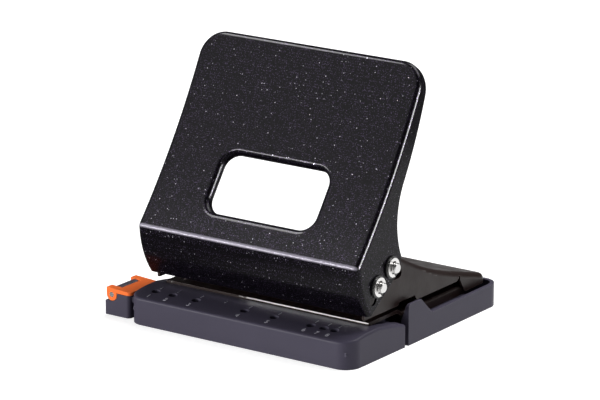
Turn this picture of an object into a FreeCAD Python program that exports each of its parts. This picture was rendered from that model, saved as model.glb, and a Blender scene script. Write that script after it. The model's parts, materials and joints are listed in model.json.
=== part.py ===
"""Two-hole desk punch: pressed steel handle and frame, moulded table, sliding guide, chip tray.

Frame of the model: millimetres, +X to the right, +Y to the rear, +Z up. The origin lies on the
desk, at the middle of the base.
"""

import FreeCAD
import Part
import Sketcher
import math
import os

doc = FreeCAD.newDocument("desk_hole_punch")

# ---------------------------------------------------------------- driving dimensions

# Distances called "line" or "at" run rearwards from the front face of the base; heights run up
# from the desk.
DIMENSIONS = [
    ("base_width", 130.0, "width of the base over the tray"),
    ("base_depth", 128.0, "front face to rear face of the base"),
    ("base_corner", 8.0, "radius of the four upright base corners"),
    ("fit_gap", 0.3, "gap between pieces that move past each other"),
    ("shaft_gap", 0.04, "radial clearance of a shaft in its hole"),
    ("press_gap", 0.02, "radial clearance of a rivet or screw in its hole"),
    ("housing_depth", 44.6, "front to rear of the table housing"),
    ("housing_taper", 0.5, "how far each side draws in towards the front"),
    ("housing_wall", 2.0, "wall of the table housing"),
    ("table_front_height", 13.3, "top of the table at its front edge"),
    ("table_rear_height", 15.2, "top of the table at its rear edge"),
    ("table_depth", 23.0, "front to rear of the sloping table"),
    ("table_crown", 102.0, "radius of the table's crowned top"),
    ("rail_end_height", 11.3, "top of the side rails at their rear end"),
    ("rail_radius", 200.0, "radius of the falling top of the side rails"),
    ("table_edge_radius", 1.3, "rounding of the table's outer edge"),
    ("window_radius", 2.2, "radius of a format window"),
    ("window_line", 9.7, "row of format windows"),
    ("boss_radius", 4.0, "screw boss"),
    ("boss_inset", 12.5, "side of the base to the screw bosses"),
    ("boss_line", 28.5, "front pair of screw bosses"),
    ("boss_spacing", 11.0, "front pair of screw bosses to the rear pair"),
    ("boss_foot", 3.4, "height of the underside of a boss"),
    ("screw_radius", 1.5, "housing screw"),
    ("screw_head_radius", 2.8, "head of a housing screw"),
    ("screw_head_height", 2.0, "height of a screw head"),
    ("plate_height", 16.4, "top of the base plate where it cuts"),
    ("plate_gauge", 1.6, "sheet of the base plate"),
    ("plate_inset", 6.5, "side of the base to the side of the base plate"),
    ("plate_step", 2.0, "drop of the base plate behind the paper stop"),
    ("plate_run", 3.0, "length of the slope at that drop"),
    ("plate_rear_inset", 9.5, "rear of the base to the rear edge of the base plate"),
    ("plate_flange", 4.8, "depth of the turned-down sides of the base plate"),
    ("plate_flange_line", 106.0, "rear end of those sides"),
    ("hole_spacing", 80.0, "centre to centre of the two punches"),
    ("punch_line", 34.6, "punch axes and drive bar"),
    ("punch_radius", 3.0, "cutting radius of a punch"),
    ("paper_stop_line", 47.6, "front of the tray's upright stops"),
    ("throat_height", 2.9, "paper slot, base plate to punch guide"),
    ("frame_inset", 5.0, "side of the base to the outside of the frame's cheeks"),
    ("frame_gauge", 1.4, "sheet of the frame"),
    ("frame_bend", 3.0, "outer bend radius of the frame"),
    ("deck_front_line", 47.0, "front edge of the deck"),
    ("deck_front_height", 43.4, "top of the deck at its front edge"),
    ("deck_radius", 215.0, "hollow curve of the deck"),
    ("deck_tail", 24.0, "length of the straight rear of the deck"),
    ("deck_low_height", 21.9, "top of the deck where it turns straight"),
    ("deck_rear_inset", 4.0, "rear of the base to the rear of the frame"),
    ("deck_rear_height", 15.2, "top of the deck at the rear"),
    ("hood_corner", 5.5, "upright rear corners of the frame"),
    ("hood_length", 25.4, "rear of the frame to the slits before the hood"),
    ("slit_width", 1.0, "slit between a cheek and the rear hood"),
    ("cheek_front_line", 18.2, "front edge of the cheeks"),
    ("cheek_rise", 8.4, "drive bar to the top of the cheek's lobe"),
    ("lobe_half_width", 3.8, "half the width of that lobe at its top"),
    ("throat_sag", 1.1, "how far the paper slot narrows behind the tray's stops"),
    ("throat_ramp", 1.6, "length of the slopes where the slot rises over the stops"),
    ("stop_clearance", 2.0, "paper slot's rise beyond each end of the tray's stops"),
    ("slit_rise", 0.9, "top of the slits above the paper slot"),
    ("cheek_bevel", 2.2, "bevel at the low rear corner of each cheek"),
    ("hood_lean", 5.0, "slope of the hood's front edge below the slit"),
    ("relief_line", 48.8, "rear end of the slot in each cheek"),
    ("relief_height", 35.2, "middle of that slot"),
    ("relief_length", 5.0, "length of that slot between its end centres"),
    ("relief_radius", 2.7, "half the width of that slot"),
    ("foot_depth", 14.0, "turned-in foot at the rear of the frame"),
    ("rivet_radius", 1.6, "frame rivet"),
    ("rivet_head_radius", 3.0, "head of a frame rivet"),
    ("rivet_head_height", 1.0, "height of a rivet head"),
    ("rivet_inset", 10.0, "rear of the frame to the row of rivets"),
    ("rivet_spacing", 28.0, "centre to centre of the frame rivets"),
    ("pivot_line", 23.3, "pivot pin"),
    ("pivot_height", 35.0, "pivot pin"),
    ("drive_height", 41.6, "drive bar with the handle up"),
    ("pin_radius", 2.5, "pivot pin and drive bar"),
    ("drive_travel", 9.0, "stroke of the drive bar"),
    ("guide_depth", 21.0, "front to rear of the punch guide"),
    ("guide_height", 7.6, "height of the punch guide"),
    ("guide_gauge", 1.6, "sheet of the punch guide"),
    ("bush_radius", 4.3, "outside of a guide bush"),
    ("bush_length", 5.2, "guide bush, underside to top"),
    ("bush_flange", 0.8, "thickness and reach of a guide bush's flange"),
    ("punch_head_radius", 4.4, "head of a punch"),
    ("punch_head_height", 9.8, "height of a punch head"),
    ("punch_lift", 0.4, "punch tips above the underside of the punch guide"),
    ("seat_radius", 6.4, "spring seat"),
    ("seat_thickness", 1.2, "spring seat"),
    ("spring_radius", 5.35, "mean radius of a return spring"),
    ("spring_wire", 0.45, "radius of the spring wire"),
    ("spring_turns", 4.5, "turns of a return spring"),
    ("spacer_gauge", 1.8, "thickness of the spacers between handle and frame"),
    ("spacer_radius", 5.5, "spacer between handle and frame"),
    ("handle_gauge", 1.2, "sheet of the handle"),
    ("handle_bend", 2.6, "outer bend radius of the handle"),
    ("handle_corner", 13.0, "radius of the handle's top corners"),
    ("handle_knee_line", 7.2, "knee between the panel and the apron"),
    ("handle_knee_height", 47.4, "knee between the panel and the apron"),
    ("panel_angle", 57.3, "slope of the panel's chord, in degrees"),
    ("panel_length", 102.0, "knee to the top edge of the handle"),
    ("panel_radius", 395.0, "hollow curve of the panel"),
    ("panel_lip", 4.6, "depth of the turned lip at the top"),
    ("waist_along", 49.0, "knee to the handle's waist, up the panel"),
    ("waist_depth", 13.9, "depth of the handle's sides at the waist"),
    ("waist_radius", 38.0, "hollow curve of the handle's sides under the waist"),
    ("flange_radius", 214.0, "swell of the handle's sides above the waist"),
    ("apron_line", 16.1, "bottom edge of the apron"),
    ("apron_height", 21.9, "bottom edge of the apron"),
    ("apron_radius", 45.0, "bulge of the apron"),
    ("heel_reach", 8.4, "drive bar to the rear of the handle's sides"),
    ("heel_rise", 3.4, "height of the handle's heel above and below the drive bar"),
    ("window_half_width", 30.4, "half the width of the handle's window"),
    ("window_low", 13.5, "knee to the lower edge of the window"),
    ("window_height", 30.7, "lower edge to upper edge of the window"),
    ("window_corner", 7.5, "corner radius of the window"),
    ("window_depth", 3.9, "panel's face to the inner edge of the lip round the window"),
    ("window_roll", 3.0, "outer radius of the bend that turns that lip in"),
    ("slot_play", 1.9, "pivot slot beyond the pin towards the drive bar"),
    ("slot_tail_y", 3.4, "pivot pin forwards to the low end of its slot"),
    ("slot_tail_z", 5.6, "pivot pin down to the low end of its slot"),
    ("clip_radius", 4.6, "outside of a retaining clip"),
    ("clip_width", 1.5, "width of a retaining clip's ring"),
    ("clip_turn", 40.0, "turn of the clips' mouths from straight down, in degrees"),
    ("clip_gauge", 0.7, "thickness of a retaining clip"),
    ("washer_radius", 5.3, "outer washer on a pin"),
    ("washer_gauge", 0.6, "thickness of an outer washer"),
    ("pin_overhang", 2.2, "pin end beyond its clip"),
    ("pin_chamfer", 0.4, "chamfer of a pin's end"),
    ("tray_wall", 2.0, "wall and floor of the chip tray"),
    ("tray_height", 11.4, "top of the tray's walls"),
    ("tray_low_height", 9.0, "top of the tray's front wall"),
    ("stop_height", 20.1, "top of the tray's upright stops"),
    ("stop_depth", 10.7, "front to rear of a stop at its top"),
    ("stop_foot", 20.0, "front to rear of a stop at its foot"),
    ("stop_gap", 0.8, "stop to the outside of the frame's cheek"),
    ("tongue_gap", 2.5, "side of the tray's tongue to the screw bosses"),
    ("tongue_line", 26.0, "front of the tray's tongue"),
    ("slide_line", 5.0, "front edge of the guide's bar"),
    ("slide_width", 14.0, "front to rear of the guide's bar"),
    ("slide_height", 8.5, "underside of the guide's bar"),
    ("slide_gauge", 2.6, "thickness of the guide's bar"),
    ("slide_inset", 12.0, "right end of the guide's bar to the side of the base"),
    ("block_line", 3.0, "front of the guide's end block"),
    ("block_depth", 23.0, "front to rear of the guide's end block"),
    ("block_width", 14.5, "width of the guide's end block"),
    ("block_height", 11.7, "top of the guide's end block"),
    ("block_gap", 0.5, "end block to the side of the housing"),
    ("block_corner", 2.0, "upright corners of the guide's end block"),
    ("flap_pin_inset", 3.8, "left end of the block to the flap's pin"),
    ("flap_pin_height", 11.0, "flap's pin"),
    ("flap_pin_radius", 1.25, "flap's pin"),
    ("knuckle_radius", 3.0, "knuckles of the flap's hinge"),
    ("knuckle_length", 4.0, "length of each of the flap's knuckles"),
    ("flap_thickness", 2.0, "thickness of the flap in the middle"),
    ("flap_slope", 0.4, "rise of the flap's top at its hinge, and fall at its other end"),
    ("flap_corner", 2.5, "rear corner of the flap beside the housing"),
]

# Format windows in the table: distances from the left side of the base, then from the right side.
WINDOWS_FROM_LEFT = (10.4, 20.6, 34.3, 62.7)
WINDOWS_FROM_RIGHT = (50.3, 29.3, 22.0, 16.0)

# Sides of the polygon that the spring wire is drawn with.
WIRE_SIDES = 8


class Size:
    """A length that knows its number and the sheet formula that gives it."""

    def __init__(self, number, formula):
        self.number = number
        self.formula = formula

    def joined(self, other, sign, number):
        return Size(number, f"({self.formula} {sign} {as_size(other).formula})")

    def __add__(self, other):
        return self.joined(other, "+", self.number + as_size(other).number)

    def __sub__(self, other):
        return self.joined(other, "-", self.number - as_size(other).number)

    def __mul__(self, other):
        return self.joined(other, "*", self.number * as_size(other).number)

    def __truediv__(self, other):
        return self.joined(other, "/", self.number / as_size(other).number)

    def __neg__(self):
        return Size(-self.number, f"(0 - {self.formula})")

    __radd__ = __add__
    __rmul__ = __mul__


def as_size(value):
    return value if isinstance(value, Size) else Size(float(value), repr(float(value)))


def cosine(angle):
    return Size(math.cos(math.radians(angle.number)), f"cos({angle.formula} * 1 deg)")


def sine(angle):
    return Size(math.sin(math.radians(angle.number)), f"sin({angle.formula} * 1 deg)")


def arc_sine(value):
    """The angle, in degrees, whose sine is the value."""
    return Size(math.degrees(math.asin(value.number)), f"asin({value.formula}) / 1 deg")


def square_root(value):
    return Size(math.sqrt(value.number), f"sqrt({value.formula})")


def write_sheet():
    """Put every driving dimension into the sheet, one row each, and return them as sizes."""
    sheet = doc.addObject("Spreadsheet::Sheet", "sizes")
    found = {}
    for row, (alias, number, meaning) in enumerate(DIMENSIONS, start=1):
        sheet.set(f"A{row}", meaning)
        sheet.set(f"B{row}", str(number))
        sheet.setAlias(f"B{row}", alias)
        found[alias] = Size(number, f"sizes.{alias}")
    doc.recompute()
    return found


class Sizes:
    """The driving dimensions as attributes."""

    def __init__(self, found):
        self.__dict__.update(found)


s = Sizes(write_sheet())

# ---------------------------------------------------------------- helpers


def new_body(label):
    body = doc.addObject("PartDesign::Body", label)
    body.Label = label
    return body


def base_plane(body, role):
    return next(item for item in body.Origin.OriginFeatures if item.Role == role)


def fix_point(sketch, geometry, end, x, y):
    """Hold one end of a sketch element at (x, y), bound to the sheet."""
    for kind, value, axis in (("DistanceX", as_size(x), -2), ("DistanceY", as_size(y), -1)):
        if abs(value.number) < 1e-9:
            sketch.addConstraint(Sketcher.Constraint("PointOnObject", geometry, end, axis))
            continue
        index = sketch.addConstraint(
            Sketcher.Constraint(kind, -1, 1, geometry, end, value.number)
        )
        sketch.setExpression(f"Constraints[{index}]", value.formula)


def new_sketch(body, name, role, raised):
    sketch = body.newObject("Sketcher::SketchObject", name)
    sketch.AttachmentSupport = (base_plane(body, role), [""])
    sketch.MapMode = "FlatFace"
    if raised is not None:
        sketch.setExpression("AttachmentOffset.Base.z", as_size(raised).formula)
    return sketch


def arc_between(start, end, radius):
    """Arc of the given signed radius; a positive one lies to the right of the way travelled."""
    reach = end.sub(start)
    middle = (start + end) * 0.5
    across = FreeCAD.Vector(-reach.y, reach.x, 0).normalize()
    depth = math.sqrt(radius * radius - reach.Length * reach.Length / 4)
    centre = middle + across * math.copysign(depth, radius)
    first, last = (start, end) if radius > 0 else (end, start)
    angles = [math.atan2(point.y - centre.y, point.x - centre.x) for point in (first, last)]
    circle = Part.Circle(centre, FreeCAD.Vector(0, 0, 1), abs(radius))
    return Part.ArcOfCircle(circle, angles[0], angles[1])


def outline(body, name, role, path, raised=None):
    """Closed outline; a corner is (x, y) or (x, y, radius of the arc to the next corner)."""
    sketch = new_sketch(body, name, role, raised)
    points = [FreeCAD.Vector(as_size(p[0]).number, as_size(p[1]).number, 0) for p in path]
    ends = []
    for index, corner in enumerate(path):
        start, end = points[index], points[(index + 1) % len(points)]
        if len(corner) == 3:
            radius = as_size(corner[2])
            sketch.addGeometry(arc_between(start, end, radius.number), False)
            ends.append((1, 2) if radius.number > 0 else (2, 1))
        else:
            sketch.addGeometry(Part.LineSegment(start, end), False)
            ends.append((1, 2))
    for index, corner in enumerate(path):
        after = (index + 1) % len(path)
        sketch.addConstraint(
            Sketcher.Constraint("Coincident", index, ends[index][1], after, ends[after][0])
        )
        fix_point(sketch, index, ends[index][0], corner[0], corner[1])
        if len(corner) == 3:
            radius = as_size(corner[2])
            bent = sketch.addConstraint(Sketcher.Constraint("Radius", index, abs(radius.number)))
            formula = radius.formula if radius.number > 0 else (-radius).formula
            sketch.setExpression(f"Constraints[{bent}]", formula)
    return sketch


def rectangle(x_low, x_high, y_low, y_high):
    return [(x_low, y_low), (x_high, y_low), (x_high, y_high), (x_low, y_high)]


def circles(body, name, role, centres, radius, raised=None):
    """Circles of one radius at the given centres."""
    sketch = new_sketch(body, name, role, raised)
    for index, (x, y) in enumerate(centres):
        centre = FreeCAD.Vector(as_size(x).number, as_size(y).number, 0)
        circle = Part.Circle(centre, FreeCAD.Vector(0, 0, 1), radius.number)
        sketch.addGeometry(circle, False)
        fix_point(sketch, index, 3, x, y)
        size = sketch.addConstraint(Sketcher.Constraint("Radius", index, radius.number))
        sketch.setExpression(f"Constraints[{size}]", radius.formula)
    return sketch


def pad(body, sketch, length, both=False, back=False):
    """Add material on a sketch; back grows it against the sketch's normal."""
    feature = body.newObject("PartDesign::Pad", sketch.Name + "_pad")
    feature.Profile = sketch
    feature.setExpression("Length", as_size(length).formula)
    feature.SideType = "Symmetric" if both else "One side"
    feature.Reversed = back
    return settled(feature)


def cut(body, sketch, length, both=False, back=False):
    """Take material away from a sketch; back cuts along the sketch's normal."""
    before = body.Shape.Volume
    feature = body.newObject("PartDesign::Pocket", sketch.Name + "_cut")
    feature.Profile = sketch
    feature.setExpression("Length", as_size(length).formula)
    feature.SideType = "Symmetric" if both else "One side"
    feature.Reversed = back
    settled(feature)
    if body.Shape.Volume > before - 1e-6:
        raise RuntimeError(f"{feature.Label} takes nothing away")
    return feature


def settled(feature):
    """Recompute, and stop where the feature could not be made."""
    doc.recompute()
    if "Invalid" in feature.State or feature.Shape.isNull():
        raise RuntimeError(f"{feature.Label} could not be made")
    return feature


def near(value, target):
    return abs(value - as_size(target).number) < 0.02


def edge_names(feature, test):
    """Names of the edges whose bounding box passes the test."""
    shape = feature.Shape
    return [f"Edge{i}" for i, edge in enumerate(shape.Edges, start=1) if test(edge.BoundBox)]


def face_names(feature, test):
    shape = feature.Shape
    return [f"Face{i}" for i, face in enumerate(shape.Faces, start=1) if test(face.BoundBox)]


def rounded(body, feature, edges, radius):
    """Round the named edges of a feature."""
    if not edges:
        raise RuntimeError(f"{feature.Label} has no edge to round")
    fillet = body.newObject("PartDesign::Fillet", feature.Name + "_round")
    fillet.Base = (feature, edges)
    fillet.setExpression("Radius", as_size(radius).formula)
    return settled(fillet)


def shelled(body, feature, faces, wall):
    """Hollow the body to a wall, open at the named faces."""
    thickness = body.newObject("PartDesign::Thickness", feature.Name + "_shell")
    thickness.Base = (feature, faces)
    thickness.setExpression("Value", wall.formula)
    thickness.Reversed = True
    thickness.Mode = 0
    thickness.Join = "Intersection"
    return settled(thickness)


def y_of(line):
    """Place in the model of a distance measured rearwards from the base's front face."""
    return line - s.base_depth / 2


def touches(face, point):
    """Whether a face's bounding box meets a point of the side view."""
    box = face.BoundBox
    y, z = point[0].number, point[1].number
    return box.YMin - 0.01 < y < box.YMax + 0.01 and box.ZMin - 0.01 < z < box.ZMax + 0.01


def rim_names(feature, wanted, unwanted=lambda box: False):
    """Names of the edges round every face that is wanted, but for the unwanted ones."""
    shape = feature.Shape
    rims = [edge for face in shape.Faces if wanted(face) for edge in face.Edges]
    return [f"Edge{i}" for i, edge in enumerate(shape.Edges, start=1)
            if any(edge.isSame(rim) for rim in rims) and not unwanted(edge.BoundBox)]


def round_rectangle(x_low, x_high, y_low, y_high, radius):
    """Rectangle with round corners, as an outline."""
    return [
        (x_low + radius, y_low), (x_high - radius, y_low, radius),
        (x_high, y_low + radius), (x_high, y_high - radius, radius),
        (x_high - radius, y_high), (x_low + radius, y_high, radius),
        (x_low, y_high - radius), (x_low, y_low + radius, radius),
    ]


def cut_slot(body, name, path, half_width, length):
    """Slot with round ends and corners through the whole part, along a path seen from the side."""
    for number, (start, end) in enumerate(zip(path, path[1:])):
        y_run, z_run = end[0] - start[0], end[1] - start[1]
        reach = square_root(y_run * y_run + z_run * z_run)
        y_off, z_off = half_width * z_run / reach, half_width * y_run / reach
        sides = [
            (start[0] + y_off, start[1] - z_off), (end[0] + y_off, end[1] - z_off),
            (end[0] - y_off, end[1] + z_off), (start[0] - y_off, start[1] + z_off),
        ]
        run = outline(body, f"{name}_run_{number}", "YZ_Plane", sides)
        cut(body, run, length, both=True)
    for number, centre in enumerate(path):
        end = circles(body, f"{name}_end_{number}", "YZ_Plane", [centre], half_width)
        cut(body, end, length, both=True)


def turned(label, role, profile, placed):
    """Turned piece: half profile (along, radius) spun about the plane's first axis."""
    body = new_body(label)
    sketch = outline(body, label + "_profile", role, profile)
    spin = body.newObject("PartDesign::Revolution", label + "_turned")
    spin.Profile = sketch
    spin.ReferenceAxis = (sketch, ["H_Axis"])
    spin.Angle = 360
    settled(spin)
    place(body, placed)
    return body


def place(item, spot):
    """Bind a piece's place to the sheet."""
    for axis, value in zip("xyz", spot):
        item.setExpression(f"Placement.Base.{axis}", as_size(value).formula)
    doc.recompute()


def mirrored_pair(label, first):
    """The same piece on both sides of the middle, as one node."""
    other = doc.addObject("Part::Mirroring", label + "_other")
    other.Source = first
    other.Normal = (1, 0, 0)
    pair = doc.addObject("Part::Compound", label)
    pair.Label = label
    pair.Links = [first, other]
    doc.recompute()
    return pair


def copies(label, body, spots):
    """Identical pieces at several places, as one node."""
    links = []
    for number, spot in enumerate(spots, start=1):
        link = doc.addObject("App::Link", f"{label}_{number}")
        link.LinkedObject = body
        links.append(link)
        link.LinkTransform = True
        place(link, spot)
    group = doc.addObject("Part::Compound", label)
    group.Label = label
    group.Links = links
    doc.recompute()
    return group


# ---------------------------------------------------------------- places shared by the pieces

half_width = s.base_width / 2
half_depth = s.base_depth / 2
plate_half_width = half_width - s.plate_inset
plate_low_top = s.plate_height - s.plate_step
foot_low = plate_low_top - s.plate_gauge - s.frame_gauge
frame_half_width = half_width - s.frame_inset
cheek_inside = frame_half_width - s.frame_gauge
handle_half_width = frame_half_width + s.spacer_gauge + s.fit_gap * 2 + s.handle_gauge
deck_front = y_of(s.deck_front_line)
deck_rear = half_depth - s.deck_rear_inset
slit_line = deck_rear - s.hood_length
paper_stop = y_of(s.paper_stop_line)
drive_at = (y_of(s.punch_line), s.drive_height)
pivot_at = (y_of(s.pivot_line), s.pivot_height)
throat_top = s.plate_height + s.throat_height
punch_x = s.hole_spacing / 2
pin_hole = s.pin_radius + s.shaft_gap
washer_inside = handle_half_width + s.fit_gap
clip_inside = washer_inside + s.washer_gauge
pin_half_length = clip_inside + s.clip_gauge + s.pin_overhang
block_front = y_of(s.block_line)
block_middle = block_front + s.block_depth / 2
block_right = -(half_width + s.block_gap)
block_left = block_right - s.block_width
flap_pin_at = (block_left + s.flap_pin_inset, s.flap_pin_height)


# ---------------------------------------------------------------- handle


def panel_point(along, deep):
    """Point of the handle's side view: along the panel's chord from the knee, and deep behind it."""
    y = y_of(s.handle_knee_line) + along * cosine(s.panel_angle) + deep * sine(s.panel_angle)
    z = s.handle_knee_height + along * sine(s.panel_angle) - deep * cosine(s.panel_angle)
    return y, z


def panel_hollow(along):
    """How far the hollow panel lies behind its chord."""
    off, half = along - s.panel_length / 2, s.panel_length / 2
    radius = s.panel_radius
    return square_root(radius * radius - off * off) - square_root(radius * radius - half * half)


def on_panel(sketch, along, sunk):
    """Lay a sketch on the panel at a place along it, its second axis running up the panel."""
    y, z = panel_point(along, panel_hollow(along) + sunk)
    tilt = s.panel_angle - arc_sine((s.panel_length / 2 - along) / s.panel_radius)
    turn = FreeCAD.Rotation(FreeCAD.Vector(1, 0, 0), tilt.number)
    sketch.AttachmentOffset = FreeCAD.Placement(FreeCAD.Vector(0, 0, 0), turn)
    sketch.setExpression("AttachmentOffset.Base.y", y.formula)
    sketch.setExpression("AttachmentOffset.Base.z", z.formula)
    sketch.setExpression("AttachmentOffset.Rotation.Angle", tilt.formula)
    doc.recompute()
    return sketch


def skin_faces(deep):
    """Test for the panel and apron faces that lie this deep in the handle's sheet."""
    radii = (s.panel_radius + deep, s.apron_radius - deep)

    def wanted(face):
        wide = face.BoundBox.XLength > handle_half_width.number
        round_face = face.Surface.TypeId == "Part::GeomCylinder"
        return wide and round_face and any(near(face.Surface.Radius, radius) for radius in radii)
    return wanted


def cut_pivot_slot(body):
    """Cranked slot for the pivot pin: a short run towards the drive bar and a tail downwards."""
    y_run, z_run = drive_at[0] - pivot_at[0], drive_at[1] - pivot_at[1]
    share = s.slot_play / square_root(y_run * y_run + z_run * z_run)
    path = [
        (pivot_at[0] + y_run * share, pivot_at[1] + z_run * share), pivot_at,
        (pivot_at[0] - s.slot_tail_y, pivot_at[1] - s.slot_tail_z),
    ]
    cut_slot(body, "pivot_slot", path, s.pin_radius + s.fit_gap, handle_half_width * 3)


def make_handle():
    """Pressed steel handle: apron, hollow panel and top lip, with a flange down each side."""
    body = new_body("handle")
    knee = panel_point(0.0, 0.0)
    tip = (y_of(s.apron_line), s.apron_height)
    side = outline(body, "handle_side", "YZ_Plane", [
        tip,
        (tip[0] + s.handle_gauge * 1.6, tip[1]),
        (drive_at[0] + s.heel_reach - s.heel_rise / 2, drive_at[1] - s.heel_rise),
        (drive_at[0] + s.heel_reach, drive_at[1] + s.heel_rise, -s.waist_radius),
        (*panel_point(s.waist_along, s.waist_depth), s.flange_radius),
        panel_point(s.panel_length, s.panel_lip),
        (*panel_point(s.panel_length, 0.0), -s.panel_radius),
        (*knee, s.apron_radius),
    ])
    half = handle_half_width
    solid = pad(body, side, half * 2, both=True)
    lip_top = panel_point(s.panel_length, 0.0)[0].number
    lip_low = panel_point(s.panel_length, s.panel_lip + s.handle_gauge * 2)[1].number
    backs = face_names(solid, lambda box: box.XLength > 2 * half.number - 0.01
                       and tip[0].number - 0.01 < box.YMin < lip_top - 0.01)
    solid = shelled(body, solid, backs, s.handle_gauge)
    for deep in (as_size(0.0), s.handle_gauge):
        corners = edge_names(solid, lambda box: near(abs(box.Center.x), half - deep)
                             and box.ZMin > lip_low)
        solid = rounded(body, solid, corners, s.handle_corner - deep)
    for deep in (as_size(0.0), s.handle_gauge):
        rims = rim_names(solid, skin_faces(deep), lambda box: box.ZMax < tip[1].number + 0.01)
        solid = rounded(body, solid, rims, s.handle_bend - deep)
    middle = s.window_low + s.window_height / 2
    collar, wide, tall = s.handle_gauge, s.window_half_width, s.window_height / 2
    turned_in = outline(body, "window_collar", "XY_Plane", round_rectangle(
        -wide - collar, wide + collar, -tall - collar, tall + collar, s.window_corner + collar))
    sunk = s.handle_gauge * 0.4
    pad(body, on_panel(turned_in, middle, sunk), s.window_depth - sunk, back=True)
    opening = outline(body, "window_opening", "XY_Plane",
                      round_rectangle(-wide, wide, -tall, tall, s.window_corner))
    window = cut(body, on_panel(opening, middle, 0.0), s.waist_depth, both=True)
    for deep in (as_size(0.0), s.handle_gauge):
        rolls = rim_names(window, skin_faces(deep), outside_window)
        window = rounded(body, window, rolls, s.window_roll - deep)
    cut(body, circles(body, "drive_hole", "YZ_Plane", [drive_at], pin_hole), half * 3, both=True)
    cut_pivot_slot(body)
    return body


def outside_window(box):
    """Whether an edge lies beyond the lip round the window."""
    margin = s.handle_gauge * 2
    wide = (s.window_half_width + margin).number
    low = panel_point(s.window_low - margin, s.panel_lip)[1].number
    high = panel_point(s.window_low + s.window_height + margin, 0.0)[1].number
    return box.XMin < -wide or box.XMax > wide or box.ZMin < low or box.ZMax > high


# ---------------------------------------------------------------- frame and base plate


def cut_throat(body):
    """Open the paper slot through both cheeks, raised over the tray's stops."""
    front, low = y_of(s.cheek_front_line) - 1.0, foot_low - 1.0
    narrow, high = throat_top - s.throat_sag, s.stop_height + s.fit_gap * 2
    stops_front, stops_rear = paper_stop - s.stop_clearance, paper_stop + s.stop_depth + s.stop_clearance
    hood_front = slit_line + s.slit_width
    throat = [
        (front, low), (hood_front + s.hood_lean, low), (hood_front, narrow),
        (hood_front, throat_top + s.slit_rise), (slit_line, throat_top + s.slit_rise),
        (slit_line, narrow + s.cheek_bevel / 2), (slit_line - s.cheek_bevel, narrow),
        (stops_rear + s.throat_ramp, narrow), (stops_rear, high),
        (stops_front + s.throat_ramp, high), (stops_front, throat_top), (front, throat_top),
    ]
    for name, side in (("left", -1.0), ("right", 1.0)):
        opening = outline(body, name + "_throat", "YZ_Plane", throat, (cheek_inside - s.fit_gap) * side)
        cut(body, opening, s.frame_gauge * 2, back=side > 0)


def make_frame():
    """Folded steel frame: hollow-curved deck, a cheek down each side and a rolled rear hood."""
    body = new_body("frame")
    half, front = frame_half_width, y_of(s.cheek_front_line)
    side = outline(body, "frame_side", "YZ_Plane", [
        (deck_front, foot_low),
        (deck_rear, foot_low),
        (deck_rear, s.deck_rear_height),
        (deck_rear - s.deck_tail, s.deck_low_height, -s.deck_radius),
        (deck_front, s.deck_front_height),
    ])
    solid = pad(body, side, half * 2, both=True)
    uprights = edge_names(solid, lambda box: near(box.YMin, deck_rear) and near(box.YMax, deck_rear)
                          and abs(box.Center.x) > half.number - 0.1)
    solid = rounded(body, solid, uprights, s.hood_corner)
    open_ends = face_names(solid, lambda box: near(box.ZMax, foot_low)
                           or near(box.YMax, deck_front))
    solid = shelled(body, solid, open_ends, s.frame_gauge)
    solid = rounded(body, solid, rim_names(
        solid,
        lambda face: near(face.BoundBox.XLength, half * 2)
        and face.BoundBox.ZMin > s.deck_rear_height.number - 0.2,
        lambda box: box.XLength > half.number and box.YMax < (deck_rear - s.hood_corner).number,
    ), s.frame_bend)
    for name, inner in (("left", -half), ("right", cheek_inside)):
        cheek = outline(body, name + "_cheek", "YZ_Plane", [
            (front, plate_low_top), (deck_front, plate_low_top),
            (deck_front, s.deck_front_height - s.frame_bend),
            (drive_at[0] + s.lobe_half_width, drive_at[1] + s.cheek_rise),
            (drive_at[0] - s.lobe_half_width, drive_at[1] + s.cheek_rise),
            (front, pivot_at[1] + s.pin_radius),
        ], inner)
        pad(body, cheek, s.frame_gauge)
    cut_throat(body)
    foot = outline(body, "rear_foot", "XY_Plane", rectangle(
        -cheek_inside + s.hood_corner, cheek_inside - s.hood_corner,
        deck_rear - s.foot_depth, deck_rear - s.frame_gauge / 2), foot_low)
    pad(body, foot, s.frame_gauge)
    cut(body, circles(body, "pivot_holes", "YZ_Plane", [pivot_at], pin_hole), half * 3, both=True)
    drive_low = (drive_at[0], drive_at[1] - s.drive_travel)
    cut_slot(body, "drive_slot", [drive_low, drive_at], s.pin_radius + s.fit_gap / 2, half * 3)
    relief_end = y_of(s.relief_line) - s.relief_radius
    cut_slot(body, "relief", [(relief_end - s.relief_length, s.relief_height),
                              (relief_end, s.relief_height)], s.relief_radius, half * 3)
    holes = circles(body, "foot_rivets", "XY_Plane", rivet_places(),
                    s.rivet_radius + s.press_gap, foot_low)
    cut(body, holes, s.frame_gauge * 1.5, back=True)
    return body


def rivet_places():
    row = deck_rear - s.rivet_inset
    return [(s.rivet_spacing * step, row) for step in (-1.5, -0.5, 0.5, 1.5)]


def boss_places():
    lines = (y_of(s.boss_line), y_of(s.boss_line + s.boss_spacing))
    return [((half_width - s.boss_inset) * side, line) for side in (-1.0, 1.0) for line in lines]


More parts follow.
